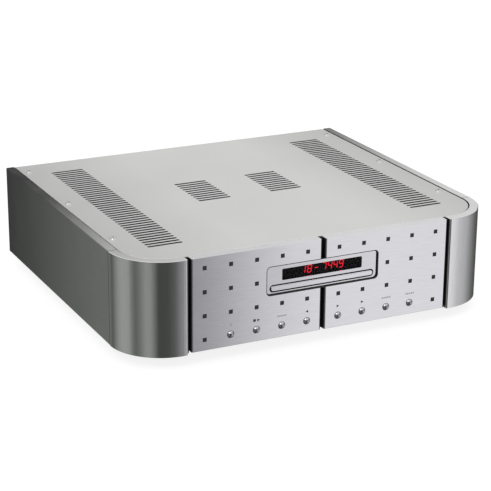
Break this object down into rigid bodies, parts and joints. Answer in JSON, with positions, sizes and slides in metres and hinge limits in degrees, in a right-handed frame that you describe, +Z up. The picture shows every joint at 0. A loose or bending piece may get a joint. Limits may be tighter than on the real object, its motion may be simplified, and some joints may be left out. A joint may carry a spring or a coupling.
{
  "type": "compact disc player",
  "caption": "Full-width disc player with rounded metal corners, vented lid, motor tray, optical drive and round push buttons on a front of square studs.",
  "frame": {"origin": "on the surface that the feet stand on, under the middle of the player's overall length and width", "axes": "+X to the right across the front, +Y from the front to the back, +Z up"},
  "size_m": [0.45, 0.4018, 0.1215],
  "materials": {
    "front_aluminium": "satin brushed, clear anodised",
    "corner_aluminium": "satin, finely brushed, clear anodised",
    "side_aluminium": "satin, finely brushed, grey anodised",
    "lid_aluminium": "fine bead-blasted, clear anodised",
    "surround_aluminium": "satin, clear anodised",
    "tray_face_aluminium": "satin, clear anodised",
    "button_steel": "turned and polished",
    "screw_steel": "zinc plated",
    "black_trim": "matte black",
    "stud_black": "satin black",
    "black_steel": "black powder coat",
    "plated_steel": "zinc plated sheet",
    "window_glass": "dark tinted, polished",
    "display_black": "black, glossy",
    "board_green": "solder-resist green",
    "foot_metal": "turned, black anodised",
    "pad_rubber": "soft rubber",
    "chassis_plastic": "moulded, fine texture",
    "tray_plastic": "moulded, fine texture",
    "gear_nylon": "natural nylon",
    "belt_rubber": "rubber",
    "motor_steel": "nickel plated can",
    "rod_steel": "ground rod",
    "lens_glass": "coated",
    "varnish_yellow": "taped winding",
    "capacitor_sleeve": "shrink sleeve",
    "sink_aluminium": "black anodised",
    "lead_pvc": "grey insulation",
    "jack_gold": "gold plated",
    "jack_plastic": "moulded",
    "socket_plastic": "moulded",
    "pin_brass": "nickel plated"
  },
  "bodies": {
    "chassis": {"base_pan": "plated_steel", "rear_panel": "black_steel", "rear_screws": "screw_steel", "side_panel_right": "side_aluminium", "side_panel_left": "side_aluminium", "corner_right": "corner_aluminium", "corner_left": "corner_aluminium", "front_panel_right": "front_aluminium", "front_panel_left": "front_aluminium", "grid_studs": "stud_black", "sub_front": "black_steel", "front_trims": "black_trim", "bezel": "surround_aluminium", "display_window": "window_glass", "display_module": "display_black", "top_cover": "lid_aluminium", "lid_screws": "screw_steel", "lid_rails": "plated_steel", "feet": "foot_metal", "foot_pads": "pad_rubber", "foot_screws": "screw_steel", "front_boards": "board_green", "transport_chassis": "chassis_plastic", "clamp_bridge": "plated_steel", "loading_motor": "motor_steel", "drive_belt": "belt_rubber", "transformer": "varnish_yellow", "transformer_bolt": "plated_steel", "power_board": "board_green", "filter_capacitors": "capacitor_sleeve", "main_board": "board_green", "standoffs": "screw_steel", "heat_sinks": "sink_aluminium", "wiring": "lead_pvc", "jack_shells": "jack_gold", "jack_insulators": "jack_plastic", "mains_inlet": "socket_plastic", "inlet_pins": "pin_brass", "rocker_frame": "socket_plastic"},
    "tray": {"disc_tray": "tray_plastic", "tray_front": "tray_face_aluminium"},
    "tray_gear": {"tray_gear": "gear_nylon"},
    "motor_pulley": {"motor_pulley": "gear_nylon"},
    "cradle": {"traverse_cradle": "plated_steel", "sled_rods": "rod_steel", "spindle_motor": "motor_steel"},
    "turntable": {"turntable": "chassis_plastic"},
    "clamp": {"clamp_puck": "chassis_plastic"},
    "sled": {"laser_sled": "chassis_plastic", "objective_lens": "lens_glass"},
    "sled_gear": {"sled_gear": "gear_nylon"},
    "rocker": {"mains_rocker": "socket_plastic"},
    "button_power": {"button_power": "button_steel"},
    "button_stop": {"button_stop": "button_steel"},
    "button_mode": {"button_mode": "button_steel"},
    "button_back": {"button_back": "button_steel"},
    "button_play": {"button_play": "button_steel"},
    "button_forward": {"button_forward": "button_steel"},
    "button_display": {"button_display": "button_steel"},
    "button_open": {"button_open": "button_steel"}
  },
  "joints": [
    {"name": "tray_slide", "type": "slide", "parent": "chassis", "child": "tray", "axis": [0, -1, 0], "range_m": [0, 0.14]},
    {"name": "tray_gear_spin", "type": "hinge", "parent": "chassis", "child": "tray_gear", "pos_m": [-0.0694, -0.168, 0.069], "axis": [0, 0, 1], "range_deg": [-1000, 5]},
    {"name": "motor_spin", "type": "hinge", "parent": "chassis", "child": "motor_pulley", "pos_m": [-0.084, -0.135, 0.063], "axis": [0, 0, 1], "range_deg": [-3000, 15]},
    {"name": "cradle_tilt", "type": "hinge", "parent": "chassis", "child": "cradle", "pos_m": [0, -0.028, 0.0573], "axis": [1, 0, 0], "range_deg": [0, 5]},
    {"name": "turntable_spin", "type": "hinge", "parent": "cradle", "child": "turntable", "pos_m": [0, -0.125, 0.065], "axis": [0, 0, 1], "continuous": true},
    {"name": "clamp_spin", "type": "hinge", "parent": "chassis", "child": "clamp", "pos_m": [0, -0.125, 0.077], "axis": [0, 0, 1], "continuous": true},
    {"name": "sled_slide", "type": "slide", "parent": "cradle", "child": "sled", "axis": [0, 1, 0], "range_m": [0, 0.0345]},
    {"name": "sled_gear_spin", "type": "hinge", "parent": "cradle", "child": "sled_gear", "pos_m": [0.0252, -0.078, 0.061], "axis": [0, 0, 1], "range_deg": [-250, 5]},
    {"name": "rocker_tilt", "type": "hinge", "parent": "chassis", "child": "rocker", "pos_m": [-0.125, 0.19, 0.05], "axis": [1, 0, 0], "range_deg": [-20, 0]},
    {"name": "button_power_press", "type": "slide", "parent": "chassis", "child": "button_power", "axis": [0, 1, 0], "range_m": [0, 0.001], "stiffness_N_per_m": 300},
    {"name": "button_stop_press", "type": "slide", "parent": "chassis", "child": "button_stop", "axis": [0, 1, 0], "range_m": [0, 0.001], "stiffness_N_per_m": 300},
    {"name": "button_mode_press", "type": "slide", "parent": "chassis", "child": "button_mode", "axis": [0, 1, 0], "range_m": [0, 0.001], "stiffness_N_per_m": 300},
    {"name": "button_back_press", "type": "slide", "parent": "chassis", "child": "button_back", "axis": [0, 1, 0], "range_m": [0, 0.001], "stiffness_N_per_m": 300},
    {"name": "button_play_press", "type": "slide", "parent": "chassis", "child": "button_play", "axis": [0, 1, 0], "range_m": [0, 0.001], "stiffness_N_per_m": 300},
    {"name": "button_forward_press", "type": "slide", "parent": "chassis", "child": "button_forward", "axis": [0, 1, 0], "range_m": [0, 0.001], "stiffness_N_per_m": 300},
    {"name": "button_display_press", "type": "slide", "parent": "chassis", "child": "button_display", "axis": [0, 1, 0], "range_m": [0, 0.001], "stiffness_N_per_m": 300},
    {"name": "button_open_press", "type": "slide", "parent": "chassis", "child": "button_open", "axis": [0, 1, 0], "range_m": [0, 0.001], "stiffness_N_per_m": 300}
  ],
  "couplings": [
    {"joint": "tray_gear_spin", "follows": "tray_slide", "rad_per_m": -123.46},
    {"joint": "motor_spin", "follows": "tray_slide", "rad_per_m": -370.37},
    {"joint": "clamp_spin", "follows": "turntable_spin", "ratio": 1},
    {"joint": "sled_gear_spin", "follows": "sled_slide", "rad_per_m": -123.46}
  ]
}
